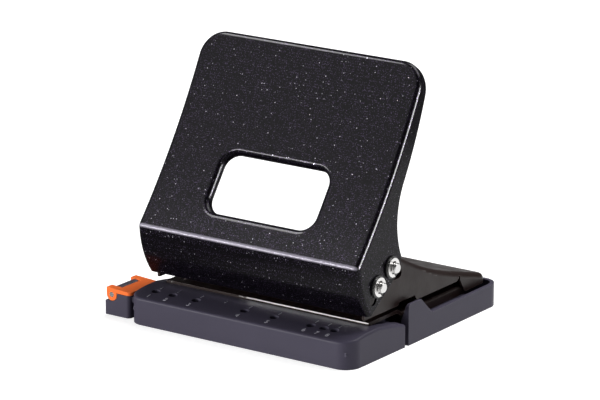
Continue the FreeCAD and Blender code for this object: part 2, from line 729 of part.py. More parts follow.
def make_base_plate():
    """Steel cutting plate, stepped down behind the paper stop, its rear sides turned down."""
    body = new_body("base_plate")
    front, rear = y_of(s.table_depth) + s.fit_gap, half_depth - s.plate_rear_inset
    step, run = paper_stop, s.plate_run
    top, low, gauge = s.plate_height, plate_low_top, s.plate_gauge
    half = plate_half_width
    side = outline(body, "plate_side", "YZ_Plane", [
        (front, top - gauge), (step, top - gauge), (step + run, low - gauge), (rear, low - gauge),
        (rear, low), (step + run + gauge / 4, low), (step + gauge / 4, top), (front, top),
    ])
    pad(body, side, half * 2, both=True)
    flange_front, flange_rear = step + run * 2, y_of(s.plate_flange_line)
    for name, inner, outer in (("left", -half, -half + gauge), ("right", half - gauge, half)):
        flange = outline(body, name + "_flange", "XY_Plane",
                         rectangle(inner, outer, flange_front, flange_rear), low - s.plate_flange)
        solid = pad(body, flange, s.plate_flange - gauge / 2)
    bends = edge_names(solid, lambda box: box.YLength > s.foot_depth.number and near(abs(box.XMin), half)
                       and near(box.ZMin, low) and near(box.ZMax, low))
    solid = rounded(body, solid, bends, gauge * 0.8)
    die = circles(body, "dies", "XY_Plane", [(-punch_x, drive_at[0]), (punch_x, drive_at[0])],
                  s.punch_radius + s.shaft_gap, top)
    cut(body, die, gauge * 2)
    cut(body, circles(body, "screw_holes", "XY_Plane", boss_places(), s.screw_radius, top), gauge * 2)
    holes = circles(body, "plate_rivets", "XY_Plane", rivet_places(),
                    s.rivet_radius + s.press_gap, low)
    cut(body, holes, gauge * 2)
    return body


def make_rivets():
    """Rivets that hold the frame's foot to the base plate."""
    low, top = foot_low, plate_low_top
    head, reach, crown = s.rivet_head_height, s.rivet_head_radius, s.rivet_radius
    rivet = turned("rivet", "XZ_Plane", [
        (low - head, 0.0), (top + head, 0.0), (top + head, crown), (top + head / 2, reach),
        (top, reach), (top, s.rivet_radius), (low, s.rivet_radius), (low, reach),
        (low - head / 2, reach), (low - head, crown),
    ], (0.0, 0.0, 0.0))
    upright(rivet)
    return copies("frame_rivets", rivet, [(x, y, 0.0) for x, y in rivet_places()])


def upright(body):
    """Turn a piece made along X so that it stands along Z."""
    body.Placement = FreeCAD.Placement(
        body.Placement.Base, FreeCAD.Rotation(FreeCAD.Vector(0, 1, 0), -90))
    doc.recompute()


def make_punch_guide():
    """Steel pan between the cheeks that carries the guide bushes over the paper slot."""
    body = new_body("punch_guide")
    rear = deck_front - s.fit_gap * 3
    pan = outline(body, "pan", "XY_Plane",
                  rectangle(-cheek_inside, cheek_inside, rear - s.guide_depth, rear), throat_top)
    solid = pad(body, pan, s.guide_height)
    uprights = edge_names(solid, lambda box: near(box.ZLength, s.guide_height) and box.XLength < 0.01)
    solid = rounded(body, solid, uprights, s.guide_gauge * 2)
    lid = face_names(solid, lambda box: near(box.ZMin, throat_top + s.guide_height))
    shelled(body, solid, lid, s.guide_gauge)
    places = [(-punch_x, drive_at[0]), (punch_x, drive_at[0])]
    cut(body, circles(body, "bush_seats", "XY_Plane", places, s.bush_radius, throat_top),
        s.guide_gauge * 1.5, back=True)
    return body


# ---------------------------------------------------------------- pins and what they carry


def make_pin(label, at):
    """Pin across the machine with a clip groove near each end."""
    groove, end, radius = s.pin_radius * 0.78, s.pin_radius - s.pin_chamfer, s.pin_radius
    half, inner, outer = pin_half_length, clip_inside, clip_inside + s.clip_gauge
    shoulder = half - s.pin_chamfer
    return turned(label, "XY_Plane", [
        (-half, 0.0), (half, 0.0), (half, end), (shoulder, radius), (outer, radius),
        (outer, groove), (inner, groove), (inner, radius), (-inner, radius), (-inner, groove),
        (-outer, groove), (-outer, radius), (-shoulder, radius), (-half, end),
    ], (0.0, at[0], at[1]))


def make_clips(label, at):
    """E-shaped retaining clips: an open ring with three prongs that grip the groove of a pin."""
    body = new_body(label + "_one")
    through, bore = s.clip_gauge * 3, s.pin_radius * 0.8
    inside = s.clip_radius - s.clip_width
    pad(body, circles(body, label + "_disc", "YZ_Plane", [(0.0, 0.0)], s.clip_radius), s.clip_gauge)
    cut(body, circles(body, label + "_eye", "YZ_Plane", [(0.0, 0.0)], inside), through, both=True)
    cut(body, outline(body, label + "_mouth", "YZ_Plane", rectangle(
        -bore, bore, -s.clip_radius * 1.2, -bore / 2)), through, both=True)
    half, reach = s.clip_width / 2, inside + s.clip_width / 2
    for name, spot in (("back", rectangle(-half, half, bore / 2, reach)),
                       ("left", rectangle(-reach, -bore / 2, -half, half)),
                       ("right", rectangle(bore / 2, reach, -half, half))):
        pad(body, outline(body, f"{label}_{name}_prong", "YZ_Plane", spot), s.clip_gauge)
    cut(body, circles(body, label + "_bore", "YZ_Plane", [(0.0, 0.0)], bore), through, both=True)
    turn = FreeCAD.Rotation(FreeCAD.Vector(1, 0, 0), s.clip_turn.number)
    body.Placement = FreeCAD.Placement(FreeCAD.Vector(0, 0, 0), turn)
    body.setExpression("Placement.Rotation.Angle", s.clip_turn.formula)
    place(body, (clip_inside, at[0], at[1]))
    return mirrored_pair(label, body)


def make_rings(label, at, inside, radius, gauge):
    """A pair of plain washers on a pin."""
    hole = s.pin_radius + s.shaft_gap
    ring = turned(label + "_one", "XY_Plane",
                  [(0.0, hole), (gauge, hole), (gauge, radius), (0.0, radius)],
                  (inside, at[0], at[1]))
    return mirrored_pair(label, ring)


def make_punch(label, side):
    """Hardened punch: notched cutting end, shank, and a cross-drilled head on the drive bar."""
    tip = throat_top + s.punch_lift
    neck = s.drive_height - s.punch_head_height / 2
    top, head, bevel = neck + s.punch_head_height, s.punch_head_radius, s.pin_chamfer * 2
    body = new_body(label)
    profile = outline(body, label + "_profile", "XZ_Plane", [
        (0.0, tip), (s.punch_radius, tip), (s.punch_radius, neck), (head, neck),
        (head, top - bevel), (head - bevel, top), (0.0, top),
    ])
    spin = body.newObject("PartDesign::Revolution", label + "_turned")
    spin.Profile = profile
    spin.ReferenceAxis = (profile, ["V_Axis"])
    spin.Angle = 360
    settled(spin)
    cut(body, circles(body, label + "_eye", "YZ_Plane", [(0.0, s.drive_height)],
                      s.pin_radius + s.shaft_gap), head * 3, both=True)
    hollow = circles(body, label + "_hollow", "YZ_Plane", [(0.0, tip - s.punch_radius * 1.4)],
                     s.punch_radius * 1.9)
    cut(body, hollow, s.punch_radius * 3, both=True)
    place(body, (punch_x * side, drive_at[0], 0.0))
    return body


def make_bush(label, side):
    """Flanged guide bush in the pan, bored to run on the punch."""
    bore = s.punch_radius + s.shaft_gap
    floor, top = throat_top + s.guide_gauge, throat_top + s.bush_length
    flange = s.bush_flange
    bush = turned(label, "XZ_Plane", [
        (throat_top, bore), (top, bore), (top, s.bush_radius), (floor + flange, s.bush_radius),
        (floor + flange, s.bush_radius + flange), (floor, s.bush_radius + flange),
        (floor, s.bush_radius), (throat_top, s.bush_radius),
    ], (punch_x * side, drive_at[0], 0.0))
    upright(bush)
    return bush


def make_seat(label, side):
    """Washer under the punch head that the return spring presses on."""
    top = s.drive_height - s.punch_head_height / 2
    hole = s.punch_radius + s.shaft_gap
    seat = turned(label, "XZ_Plane", [
        (top - s.seat_thickness, hole), (top, hole), (top, s.seat_radius),
        (top - s.seat_thickness, s.seat_radius),
    ], (punch_x * side, drive_at[0], 0.0))
    upright(seat)
    return seat


def make_spring(label, side):
    """Return spring: wire swept along a helix from the bush's flange to the spring seat."""
    floor = throat_top + s.guide_gauge + s.bush_flange
    roof = s.drive_height - s.punch_head_height / 2 - s.seat_thickness
    wire, turns = s.spring_wire, s.spring_turns
    rise = roof - floor - wire * 2.2
    helix = doc.addObject("Part::Helix", label + "_path")
    helix.setExpression("Pitch", (rise / turns).formula)
    helix.setExpression("Height", rise.formula)
    helix.setExpression("Radius", s.spring_radius.formula)
    ring = doc.addObject("Part::RegularPolygon", label + "_wire")
    ring.Polygon = WIRE_SIDES
    ring.setExpression("Circumradius", wire.formula)
    ring.Placement = FreeCAD.Placement(FreeCAD.Vector(0, 0, 0),
                                       FreeCAD.Rotation(FreeCAD.Vector(1, 0, 0), 90))
    ring.setExpression("Placement.Base.x", s.spring_radius.formula)
    sweep = doc.addObject("Part::Sweep", label)
    sweep.Label = label
    sweep.Sections = [ring]
    sweep.Spine = helix
    sweep.Solid = True
    sweep.Frenet = True
    place(sweep, (punch_x * side, drive_at[0], floor + wire * 1.1))
    return sweep


# ---------------------------------------------------------------- table housing


def housing_side(line):
    """Distance from the middle to the housing's tapering side, at a distance from its front face."""
    return half_width - s.housing_taper * (as_size(1.0) - line / s.housing_depth)


def window_places():
    places = [-half_width + gap for gap in WINDOWS_FROM_LEFT]
    places += [half_width - gap for gap in WINDOWS_FROM_RIGHT]
    return [(x, y_of(s.window_line)) for x in places]


def make_housing():
    """Moulded housing: sloping paper table with format windows, side rails, guide channel."""
    body = new_body("front_housing")
    half = half_width
    front, rear, table_rear = -half_depth, y_of(s.housing_depth), y_of(s.table_depth)
    drawn_in = half - s.housing_taper
    plan = outline(body, "housing_plan", "XY_Plane",
                   [(-drawn_in, front), (drawn_in, front), (half, rear), (-half, rear)])
    tall = s.table_rear_height + 4.0
    solid = pad(body, plan, tall)
    uprights = edge_names(solid, lambda box: near(box.YMin, front) and near(box.YMax, front)
                          and box.ZLength > 5)
    rounded(body, solid, uprights, s.base_corner)
    solid = cut(body, outline(body, "table_top", "YZ_Plane", [
        (front - 1.0, s.table_front_height), (front, s.table_front_height, -s.table_crown),
        (table_rear, s.table_rear_height, -s.rail_radius), (rear, s.rail_end_height),
        (rear + 1.0, s.rail_end_height), (rear + 1.0, tall + 1.0), (front - 1.0, tall + 1.0),
    ]), half * 3, both=True)
    wall = s.housing_wall
    top_rim = rim_names(
        solid,
        lambda face: face.BoundBox.XLength > half.number
        and face.BoundBox.ZMin > s.rail_end_height.number - 0.01
        and face.BoundBox.YMin < (rear - wall).number,
        lambda box: box.YMin > rear.number - 0.01
        or box.XLength > 0.01 and box.YMin > (front + s.base_corner).number,
    )
    rounded(body, solid, top_rim, s.table_edge_radius)
    cut(body, outline(body, "inside", "XY_Plane", round_rectangle(
        wall - drawn_in, drawn_in - wall, front + wall, rear - wall, s.base_corner - wall)),
        s.rail_end_height - wall, back=True)
    cut(body, outline(body, "under_table", "YZ_Plane", [
        (front + wall, wall), (table_rear, wall), (table_rear, s.table_rear_height - wall),
        (front + wall, s.table_front_height - wall),
    ]), (half - s.base_corner) * 2, both=True)
    bay = plate_half_width + s.fit_gap * 2
    cut(body, outline(body, "plate_bay", "XY_Plane",
                      rectangle(-bay, bay, table_rear, rear + 1.0)), tall, back=True)
    inner = drawn_in - wall / 2
    pad(body, outline(body, "table_rib", "XY_Plane",
                      rectangle(-inner, inner, table_rear - wall, table_rear)),
        s.table_rear_height - wall / 2)
    floor = s.slide_height - s.fit_gap / 2 - wall * 0.8
    pad(body, outline(body, "channel_floor", "XY_Plane",
                      rectangle(-inner + s.base_corner / 4, inner - s.base_corner / 4, front + wall / 2,
                                table_rear - wall / 2), floor), wall * 0.8)
    low = s.slide_height - s.fit_gap / 2
    slot = outline(body, "slide_mouth", "YZ_Plane", rectangle(
        y_of(s.slide_line) - s.fit_gap, y_of(s.slide_line) + s.slide_width + s.fit_gap,
        low, s.slide_height + s.slide_gauge + s.fit_gap / 2), -(half - s.base_corner - wall))
    cut(body, slot, s.base_corner + wall * 2)
    windows = circles(body, "format_windows", "XY_Plane",
                      window_places(), s.window_radius, tall)
    cut(body, windows, tall - s.slide_height - s.slide_gauge)
    bosses = circles(body, "bosses", "XY_Plane", boss_places(), s.boss_radius, s.boss_foot)
    boss_top = s.plate_height - s.plate_gauge
    pad(body, bosses, boss_top - s.boss_foot)
    for number, (x, y) in enumerate(boss_places()):
        edge = half - wall / 2
        low_x, high_x = (-edge, x) if x.number < 0 else (x, edge)
        rib = outline(body, f"boss_rib_{number}", "XY_Plane",
                      rectangle(low_x, high_x, y - wall / 2, y + wall / 2), s.boss_foot)
        pad(body, rib, boss_top - s.boss_foot - 2.4)
    bores = circles(body, "boss_bores", "XY_Plane", boss_places(), s.screw_radius + s.press_gap,
                    s.boss_foot)
    cut(body, bores, tall, back=True)
    return body


def make_screws():
    """Screws that pull the base plate down on the housing's bosses."""
    foot, head, tip = s.boss_foot, s.screw_head_height, s.plate_height - s.fit_gap
    shank, reach = s.screw_radius - s.press_gap, s.screw_head_radius
    screw = turned("screw", "XZ_Plane", [
        (foot - head, 0.0), (tip, 0.0), (tip, shank), (foot, shank), (foot, reach),
        (foot - head / 2, reach), (foot - head, reach * 0.7),
    ], (0.0, 0.0, 0.0))
    upright(screw)
    return copies("housing_screws", screw, [(x, y, 0.0) for x, y in boss_places()])


# ---------------------------------------------------------------- paper guide


def make_guide():
    """Sliding paper guide: flat bar in the housing and an end block with the flap's knuckle."""
    body = new_body("paper_guide")
    pin_x, pin_z = flap_pin_at
    radius, clear = s.knuckle_radius, s.knuckle_radius + s.fit_gap
    foot, through = s.fit_gap * 2, s.block_depth * 2
    block = outline(body, "end_block", "XY_Plane", rectangle(
        block_left, block_right, block_front, block_front + s.block_depth), foot)
    solid = pad(body, block, s.block_height - foot)
    uprights = edge_names(solid, lambda box: box.ZLength > 5 and near(box.XMax, block_right))
    rounded(body, solid, uprights, s.block_corner)
    room = circles(body, "knuckle_room", "XZ_Plane", [(pin_x, pin_z)], clear, -block_middle)
    cut(body, room, through, both=True)
    shoulder = rectangle(block_left - 1.0, pin_x, pin_z - clear, s.block_height + 1.0)
    cut(body, outline(body, "block_shoulder", "XZ_Plane", shoulder, -block_middle), through, both=True)
    inner = s.block_depth - s.knuckle_length * 2 - s.fit_gap * 2
    knuckle = circles(body, "middle_knuckle", "XZ_Plane", [(pin_x, pin_z)], radius, -block_middle)
    pad(body, knuckle, inner, both=True)
    web = rectangle(pin_x, pin_x + clear + 1.0, pin_z - radius, s.block_height)
    pad(body, outline(body, "knuckle_web", "XZ_Plane", web, -block_middle), inner, both=True)
    bore = circles(body, "flap_pin_bore", "XZ_Plane", [(pin_x, pin_z)],
                   s.flap_pin_radius + s.press_gap, -block_middle)
    cut(body, bore, through, both=True)
    bar_front = y_of(s.slide_line)
    bar = outline(body, "slide_bar", "XY_Plane", rectangle(
        block_right - 1.0, half_width - s.slide_inset, bar_front, bar_front + s.slide_width),
        s.slide_height)
    pad(body, bar, s.slide_gauge)
    return body


def make_flap():
    """Stop flap lying on the end block, hinged on two knuckles at its left end."""
    body = new_body("stop_flap")
    pin_x, pin_z = flap_pin_at
    radius, thick, length = s.knuckle_radius, s.flap_thickness, s.knuckle_length
    top, front, rear = pin_z + radius, block_front, block_front + s.block_depth
    left, right = pin_x - radius, -housing_side(s.table_depth) - s.fit_gap
    plate = outline(body, "flap_plate", "XZ_Plane", [
        (left, top - thick), (right, top - thick), (right, top - s.flap_slope),
        (left, top + s.flap_slope)], -front)
    solid = pad(body, plate, s.block_depth, back=True)
    for line, corner in ((front, s.block_corner), (rear, s.flap_corner)):
        upright = edge_names(solid, lambda box: near(box.XMin, right) and near(box.XMax, right)
                             and near(box.YMin, line) and near(box.YMax, line))
        solid = rounded(body, solid, upright, corner)
    room = length + s.fit_gap / 2
    gap = rectangle(left - 1.0, pin_x + radius + s.fit_gap, front + room, rear - room)
    cut(body, outline(body, "knuckle_gap", "XY_Plane", gap, top - thick * 1.5), thick * 3, back=True)
    for name, start in (("front", front), ("rear", rear - length)):
        lug = circles(body, name + "_lug", "XZ_Plane", [(pin_x, pin_z)], radius, -start)
        pad(body, lug, length, back=True)
        web = outline(body, name + "_lug_web", "XZ_Plane", rectangle(left, pin_x, pin_z, top), -start)
        pad(body, web, length, back=True)
    bore = circles(body, "hinge_bore", "XZ_Plane", [(pin_x, pin_z)],
                   s.flap_pin_radius + s.shaft_gap, -front)
    cut(body, bore, s.block_depth * 3, both=True)
    return body


def make_flap_pin():
    """Hinge pin of the flap."""
    pin = doc.addObject("Part::Cylinder", "flap_pin")
    pin.Label = "flap_pin"
    pin.setExpression("Radius", s.flap_pin_radius.formula)
    pin.setExpression("Height", s.block_depth.formula)
    pin.Placement = FreeCAD.Placement(FreeCAD.Vector(0, 0, 0),
                                      FreeCAD.Rotation(FreeCAD.Vector(1, 0, 0), -90))
    place(pin, (flap_pin_at[0], block_front, flap_pin_at[1]))
    return pin


# ---------------------------------------------------------------- chip tray


def make_tray():
    """Chip tray: the rear of the base, a tongue under the cutting plate and two paper stops."""
    body = new_body("chip_tray")
    half, wall, thick = half_width, s.tray_wall, s.frame_inset - s.stop_gap
    front, rear = paper_stop, half_depth
    solid = pad(body, outline(body, "tray_plan", "XY_Plane",
                              rectangle(-half, half, front, rear)), s.tray_height)
    uprights = edge_names(solid, lambda box: near(box.YMin, rear) and near(box.YMax, rear)
                          and box.ZLength > 5)
    solid = rounded(body, solid, uprights, s.base_corner)
    lid = face_names(solid, lambda box: near(box.ZMin, s.tray_height))
    shelled(body, solid, lid, wall)
    tongue = half - s.boss_inset - s.boss_radius - s.tongue_gap
    tongue_front = y_of(s.tongue_line)
    pad(body, outline(body, "tongue", "XY_Plane",
                      rectangle(-tongue, tongue, tongue_front, front + wall / 2)), s.tray_low_height)
    cut(body, outline(body, "tongue_room", "XY_Plane", rectangle(
        -tongue + wall * 0.8, tongue - wall * 0.8, tongue_front + wall * 0.8, front + wall * 1.5),
        wall), s.tray_height, back=True)
    cut(body, outline(body, "low_front", "XY_Plane", rectangle(
        -half + thick, half - thick, front - 1.0, front + wall * 1.5),
        s.tray_low_height), s.tray_height, back=True)
    slope = [
        (front, 0.0), (front + s.stop_foot, 0.0), (front + s.stop_foot, s.tray_height),
        (front + s.stop_depth, s.stop_height), (front + 1.0, s.stop_height), (front, s.stop_height - 1.0),
    ]
    for name, inner in (("left", -half), ("right", half - thick)):
        pad(body, outline(body, name + "_stop", "YZ_Plane", slope, inner), thick)
    for name, side in (("left", -1.0), ("right", 1.0)):
        lean = outline(body, name + "_lean", "XZ_Plane", [
            ((half - thick - 1.0) * side, s.tray_height), ((half - thick) * side, s.tray_height),
            ((half - thick * 0.3) * side, s.stop_height + 0.1), ((half - thick - 1.0) * side, s.stop_height + 0.1),
        ], -front + 1.0)
        cut(body, lean, s.stop_foot * 2)
    ledge_top = plate_low_top - s.plate_flange - s.fit_gap
    for name, low_x, high_x in (
        ("left", -half + wall / 2, -plate_half_width + s.plate_gauge),
        ("right", plate_half_width - s.plate_gauge, half - wall / 2),
    ):
        pad(body, outline(body, name + "_ledge", "XY_Plane", rectangle(
            low_x, high_x, front + s.stop_foot + wall * 2, slit_line), ledge_top - wall / 2),
            wall / 2)
    return body


# ---------------------------------------------------------------- assembly


def write_parts(pieces):
    """Check every object and every piece, then write one STEP file for each piece."""
    doc.recompute()
    for item in doc.Objects:
        if "Invalid" in item.State or "Error" in item.State:
            raise RuntimeError(f"{item.Label} failed to build")
    for piece in pieces:
        if piece.Shape.isNull() or not piece.Shape.isValid():
            raise RuntimeError(f"{piece.Label} has no sound shape")
    os.makedirs("parts", exist_ok=True)
    for piece in pieces:
        piece.Shape.exportStep(os.path.join("parts", piece.Label + ".step"))


write_parts([
    make_handle(),
    make_frame(),
    make_base_plate(),
    make_rivets(),
    make_punch_guide(),
    make_pin("pivot_pin", pivot_at),
    make_clips("pivot_clips", pivot_at),
    make_rings("pivot_washers", pivot_at, washer_inside, s.washer_radius, s.washer_gauge),
    make_rings("pivot_spacers", pivot_at, frame_half_width + s.fit_gap, s.spacer_radius,
               s.spacer_gauge),
    make_pin("drive_bar", drive_at),
    make_clips("drive_clips", drive_at),
    make_rings("drive_washers", drive_at, washer_inside, s.washer_radius, s.washer_gauge),
    make_rings("drive_spacers", drive_at, frame_half_width + s.fit_gap, s.spacer_radius,
               s.spacer_gauge),
    make_punch("punch_left", -1.0),
    make_punch("punch_right", 1.0),
    make_bush("guide_bush_left", -1.0),
    make_bush("guide_bush_right", 1.0),
    make_seat("spring_seat_left", -1.0),
    make_seat("spring_seat_right", 1.0),
    make_spring("spring_left", -1.0),
    make_spring("spring_right", 1.0),
    make_housing(),
    make_screws(),
    make_guide(),
    make_flap(),
    make_flap_pin(),
    make_tray(),
])
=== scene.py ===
import json
import math

import bpy
import numpy as np
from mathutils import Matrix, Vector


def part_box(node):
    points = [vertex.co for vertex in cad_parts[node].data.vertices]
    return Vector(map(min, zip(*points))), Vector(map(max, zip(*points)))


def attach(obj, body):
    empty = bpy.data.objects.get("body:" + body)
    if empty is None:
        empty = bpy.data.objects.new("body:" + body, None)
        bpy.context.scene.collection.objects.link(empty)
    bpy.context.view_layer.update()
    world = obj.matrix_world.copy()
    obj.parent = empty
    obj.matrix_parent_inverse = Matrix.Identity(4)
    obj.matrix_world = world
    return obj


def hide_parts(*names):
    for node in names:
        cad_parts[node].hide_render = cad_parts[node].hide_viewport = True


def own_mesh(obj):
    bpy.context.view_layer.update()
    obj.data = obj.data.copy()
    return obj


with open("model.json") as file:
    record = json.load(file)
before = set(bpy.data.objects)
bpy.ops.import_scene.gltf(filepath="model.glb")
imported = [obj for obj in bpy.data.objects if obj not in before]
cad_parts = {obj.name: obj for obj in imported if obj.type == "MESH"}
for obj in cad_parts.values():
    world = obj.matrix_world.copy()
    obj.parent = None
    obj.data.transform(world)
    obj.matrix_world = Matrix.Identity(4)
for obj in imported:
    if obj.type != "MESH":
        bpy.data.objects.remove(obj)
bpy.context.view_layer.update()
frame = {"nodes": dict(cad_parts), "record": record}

nodes = frame["nodes"]

# Lengths are in metres and patterns in features a metre, unless a comment says otherwise. Colours
# are linear.


# ---------------------------------------------------------------- node graphs

# inputs (factor, first, second) and result of a Mix node, by what it mixes
MIX_SOCKETS = {"FLOAT": ((0, 2, 3), 0), "RGBA": ((0, 6, 7), 2)}
# cosine between the true normal and the rounded-over one at which an edge sets in, and is full
EDGE_TURN = (0.97, 0.72)
EDGE_SAMPLES = 6
# a noise pattern keeps mostly between these
NOISE_RANGE = (0.3, 0.7)


class Graph:
    """Nodes of a material or of the world, built by short calls that add one and join it on."""

    def __init__(self, owner, coordinates="Object"):
        owner.use_nodes = True
        self.owner = owner
        self.tree = owner.node_tree
        self.tree.nodes.clear()
        self.place = self.add("ShaderNodeTexCoord").outputs[coordinates]

    def join(self, value, socket):
        """Link another node's output to an input, or write a plain value on it."""
        if isinstance(value, bpy.types.NodeSocket):
            self.tree.links.new(value, socket)
        else:
            socket.default_value = value

    def add(self, kind, **inputs):
        """New node; an input is given by its name, with _ for each space in it."""
        node = self.tree.nodes.new(kind)
        for name, value in inputs.items():
            self.join(value, node.inputs[name.replace("_", " ")])
        return node

    def noise(self, scale, detail=2.0, rough=0.5, stretch=None):
        """Cloudy pattern of so many features a metre, drawn out along an axis by stretch."""
        place = self.place
        if stretch is not None:
            place = self.add("ShaderNodeMapping", Vector=place, Scale=stretch).outputs["Vector"]
        node = self.add("ShaderNodeTexNoise", Vector=place, Scale=scale, Detail=detail,
                        Roughness=rough)
        return node.outputs["Fac"]

    def between(self, value, low, high, out_low=0.0, out_high=1.0):
        """Value carried from low..high to out_low..out_high and clamped there."""
        node = self.add("ShaderNodeMapRange", Value=value, From_Min=low, From_Max=high,
                        To_Min=out_low, To_Max=out_high)
        return node.outputs["Result"]

    def vary(self, pattern, low, high):
        """Noise pattern carried to low..high."""
        return self.between(pattern, *NOISE_RANGE, low, high)

    def blend(self, factor, first, second, kind="RGBA"):
        """Colour or number going from first to second as the factor goes from 0 to 1."""
        node = self.tree.nodes.new("ShaderNodeMix")
        node.data_type = kind
        inputs, result = MIX_SOCKETS[kind]
        for index, value in zip(inputs, (factor, first, second)):
            self.join(value, node.inputs[index])
        return node.outputs[result]

    def sums(self, operation, first, second=0.0, kind="ShaderNodeMath"):
        """A sum of two numbers; a square root takes the first alone."""
        node = self.tree.nodes.new(kind)
        node.operation = operation
        for socket, value in zip(node.inputs, (first, second)):
            self.join(value, socket)
        return node.outputs["Value"]

    def vectors(self, operation, first, second):
        """Number from two vectors: their distance or dot product."""
        return self.sums(operation, first, second, "ShaderNodeVectorMath")

    def edges(self, radius):
        """1 along the edges of a piece, within a radius of them in metres, and 0 elsewhere."""
        rounded = self.add("ShaderNodeBevel", Radius=radius)
        rounded.samples = EDGE_SAMPLES
        true = self.add("ShaderNodeNewGeometry")
        turn = self.vectors("DOT_PRODUCT", rounded.outputs["Normal"], true.outputs["Normal"])
        return self.between(turn, *EDGE_TURN)

    def bump(self, pattern, strength, height):
        """Normal of a surface that a pattern raises by up to a height."""
        node = self.add("ShaderNodeBump", Height=pattern, Strength=strength, Distance=height)
        return node.outputs["Normal"]


WHITE = (1.0, 1.0, 1.0, 1.0)


def grey(level, warm=0.0):
    """Grey of a level, made redder and less blue by a share."""
    return (level * (1.0 + warm), level, level * (1.0 - warm), 1.0)


def start_finish(name):
    """Graph of a new material."""
    return Graph(bpy.data.materials.new(name))


def wear_edges(g, colour, worn_and_lit, share, reach):
    """Colour that gives way to a lighter one, by a share, within a reach of a piece's edges: wear,
    and a painted highlight along them.
    """
    return g.blend(g.sums("MULTIPLY", g.edges(reach), share), colour, worn_and_lit)


def close_finish(g, **inputs):
    """Join colour, roughness, bump and the rest to the one shader of a finish."""
    shader = g.add("ShaderNodeBsdfPrincipled", **inputs)
    g.add("ShaderNodeOutputMaterial", Surface=shader.outputs["BSDF"])
    return g.owner


# ---------------------------------------------------------------- enamels

# flakes of the handle's enamel: cells that may hold one, distance from a cell's middle over which
# the flake sets in, and span of the cell's own random value over which it gets one
DIM_FLAKES = {"cells": 1700.0, "fade": (0.45, 0.15), "chance": (0.3, 0.8)}
BRIGHT_FLAKES = {"cells": 760.0, "fade": (0.2, 0.1), "chance": (0.68, 0.95)}
DIM_FLAKE_COLOUR = (0.062, 0.046, 0.084, 1.0)
BRIGHT_FLAKE_COLOUR = (0.74, 0.70, 0.82, 1.0)
FLAKE_ENAMEL_DARK = (0.0010, 0.0008, 0.0015, 1.0)
FLAKE_ENAMEL_LIGHT = (0.0016, 0.0012, 0.0023, 1.0)
# lighter colour of the handle enamel's edges: wear, and a painted highlight along them
FLAKE_ENAMEL_WORN_LIT_EDGE = (0.16, 0.15, 0.17, 1.0)
# fold between the handle's panel and its apron, and how far the band of painted highlight along it
# reaches; how far that painted highlight covers the enamel, and how metallic the band is
KNEE_Y, KNEE_Z = -0.0568, 0.0474
KNEE_BAND = 0.0013
KNEE_HIGHLIGHT_COLOUR = (0.21, 0.195, 0.235, 1.0)
KNEE_HIGHLIGHT_SHARE, KNEE_METAL = 0.85, 0.12
# brown-black enamel of the frame and the base plate
SATIN_ENAMEL_DARK = (0.0125, 0.0070, 0.0064, 1.0)
SATIN_ENAMEL_LIGHT = (0.0205, 0.0116, 0.0105, 1.0)
# lighter colour of the frame enamel's edges: wear, and a painted highlight along them
SATIN_ENAMEL_WORN_LIT_EDGE = (0.17, 0.14, 0.135, 1.0)
# how far the edges' wear and painted highlight reach from an enamelled edge, and the height of the
# enamel's orange peel
ENAMEL_EDGE_REACH = 0.0004
PEEL_HEIGHT = 0.0004
# bare strip along the base plate's front edge: its width, and the stretch in x over which it goes
# from a few patches at the left to bare all along at the right
BARE_STRIP = 0.0006
BARE_FROM, BARE_TO = -0.02, 0.0


def flakes(g, cells, fade, chance):
    """1 on a flake and 0 beside it: the middles of those cells that get one."""
    pattern = g.add("ShaderNodeTexVoronoi", Vector=g.place, Scale=cells)
    middle = g.between(pattern.outputs["Distance"], *fade)
    return g.sums("MULTIPLY", middle, g.between(pattern.outputs["Color"], *chance))


def along_knee(g):
    """1 on the fold between the handle's panel and its apron, 0 beyond the band on it: where the
    painted highlight goes.
    """
    parts = g.add("ShaderNodeSeparateXYZ", Vector=g.place)
    off_y = g.sums("SUBTRACT", parts.outputs["Y"], KNEE_Y)
    off_z = g.sums("SUBTRACT", parts.outputs["Z"], KNEE_Z)
    square = g.sums("ADD", g.sums("MULTIPLY", off_y, off_y), g.sums("MULTIPLY", off_z, off_z))
    return g.between(g.sums("SQRT", square), KNEE_BAND, KNEE_BAND * 0.5)


def make_flake_enamel():
    """Black-violet enamel under a clear coat: dim flakes, sparse bright ones, a painted highlight
    along the knee fold.
    """
    g = start_finish("flake_enamel")
    dim, bright, knee = flakes(g, **DIM_FLAKES), flakes(g, **BRIGHT_FLAKES), along_knee(g)
    colour = g.blend(g.noise(scale=55.0, detail=3.0), FLAKE_ENAMEL_DARK, FLAKE_ENAMEL_LIGHT)
    colour = g.blend(dim, colour, DIM_FLAKE_COLOUR)
    colour = g.blend(bright, colour, BRIGHT_FLAKE_COLOUR)
    # lighter lavender band along the knee: a painted highlight standing in for the line of light on
    # the fold
    colour = g.blend(g.sums("MULTIPLY", knee, KNEE_HIGHLIGHT_SHARE), colour, KNEE_HIGHLIGHT_COLOUR)
    # edges lightened: wear, and a painted highlight along them
    colour = wear_edges(g, colour, FLAKE_ENAMEL_WORN_LIT_EDGE, share=0.35, reach=ENAMEL_EDGE_REACH)
    # the painted knee band is also made slightly metallic, and rougher below
    metal = g.sums("MAXIMUM", g.sums("MAXIMUM", dim, bright), g.sums("MULTIPLY", knee, KNEE_METAL))
    return close_finish(
        g, Base_Color=colour, Metallic=metal,
        Roughness=g.between(knee, 0.0, 1.0, out_low=0.3, out_high=0.42),
        Normal=g.bump(g.noise(scale=420.0, detail=1.0), strength=0.03, height=PEEL_HEIGHT),
        Specular_IOR_Level=0.04, Coat_Weight=0.14, Coat_Roughness=0.06)


